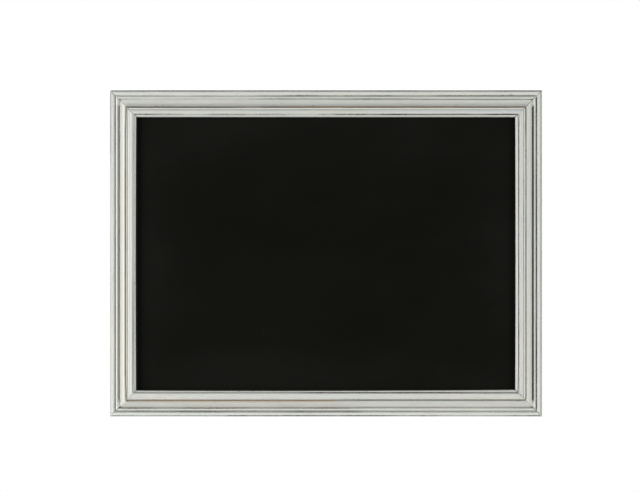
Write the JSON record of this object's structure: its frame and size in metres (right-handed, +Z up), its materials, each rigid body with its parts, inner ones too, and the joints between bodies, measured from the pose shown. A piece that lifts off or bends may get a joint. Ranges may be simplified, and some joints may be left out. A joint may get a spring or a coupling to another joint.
{
  "type": "slate writing board",
  "caption": "Rectangular wall-hung writing board: a matt black chalk panel in a mitred, whitewashed wood moulding, held in by turn buttons and hung by D-rings.",
  "frame": {"origin": "centre of the board on the plane of the wall that its bumpers touch", "axes": "+X along the width, to the right seen from the front; +Y towards the wall; +Z up; the writing side faces -Y"},
  "size_m": [0.612, 0.024, 0.462],
  "materials": {
    "whitewashed_wood": "whitewashed pine, rubbed back on the edges, dark glaze left in the grooves",
    "chalk_black": "matt black chalk paint on fibreboard",
    "hardboard": "brown hardboard with a screen-marked back",
    "zinc_steel": "bright zinc plate",
    "bumper_rubber": "soft black rubber"
  },
  "bodies": {
    "board": {"top_rail": "whitewashed_wood", "bottom_rail": "whitewashed_wood", "left_stile": "whitewashed_wood", "right_stile": "whitewashed_wood", "corner_v_nails": "zinc_steel", "writing_panel": "chalk_black", "backing_board": "hardboard", "turn_button_screws": "zinc_steel", "left_hanger_strap": "zinc_steel", "right_hanger_strap": "zinc_steel", "hanger_screws": "zinc_steel", "left_bumper": "bumper_rubber", "right_bumper": "bumper_rubber"},
    "button_top_left": {"turn_button_top_left": "zinc_steel"},
    "button_bottom_left": {"turn_button_bottom_left": "zinc_steel"},
    "button_left_upper": {"turn_button_left_upper": "zinc_steel"},
    "button_left_lower": {"turn_button_left_lower": "zinc_steel"},
    "button_top_right": {"turn_button_top_right": "zinc_steel"},
    "button_bottom_right": {"turn_button_bottom_right": "zinc_steel"},
    "button_right_upper": {"turn_button_right_upper": "zinc_steel"},
    "button_right_lower": {"turn_button_right_lower": "zinc_steel"},
    "left_ring": {"left_hanger_ring": "zinc_steel"},
    "right_ring": {"right_hanger_ring": "zinc_steel"}
  },
  "joints": [
    {"name": "button_top_left_swivel", "type": "hinge", "parent": "board", "child": "button_top_left", "pos_m": [-0.155, -0.00428, 0.21], "axis": [0, 1, 0], "continuous": true},
    {"name": "button_bottom_left_swivel", "type": "hinge", "parent": "board", "child": "button_bottom_left", "pos_m": [-0.155, -0.00428, -0.21], "axis": [0, 1, 0], "continuous": true},
    {"name": "button_left_upper_swivel", "type": "hinge", "parent": "board", "child": "button_left_upper", "pos_m": [-0.285, -0.00428, 0.08], "axis": [0, 1, 0], "continuous": true},
    {"name": "button_left_lower_swivel", "type": "hinge", "parent": "board", "child": "button_left_lower", "pos_m": [-0.285, -0.00428, -0.08], "axis": [0, 1, 0], "continuous": true},
    {"name": "button_top_right_swivel", "type": "hinge", "parent": "board", "child": "button_top_right", "pos_m": [0.155, -0.00428, 0.21], "axis": [0, 1, 0], "continuous": true},
    {"name": "button_bottom_right_swivel", "type": "hinge", "parent": "board", "child": "button_bottom_right", "pos_m": [0.155, -0.00428, -0.21], "axis": [0, 1, 0], "continuous": true},
    {"name": "button_right_upper_swivel", "type": "hinge", "parent": "board", "child": "button_right_upper", "pos_m": [0.285, -0.00428, 0.08], "axis": [0, 1, 0], "continuous": true},
    {"name": "button_right_lower_swivel", "type": "hinge", "parent": "board", "child": "button_right_lower", "pos_m": [0.285, -0.00428, -0.08], "axis": [0, 1, 0], "continuous": true},
    {"name": "left_ring_swing", "type": "hinge", "parent": "board", "child": "left_ring", "pos_m": [-0.291, -0.00272, 0.1456], "axis": [1, 0, 0], "range_deg": [0, 180]},
    {"name": "right_ring_swing", "type": "hinge", "parent": "board", "child": "right_ring", "pos_m": [0.291, -0.00272, 0.1456], "axis": [1, 0, 0], "range_deg": [0, 180]}
  ]
}
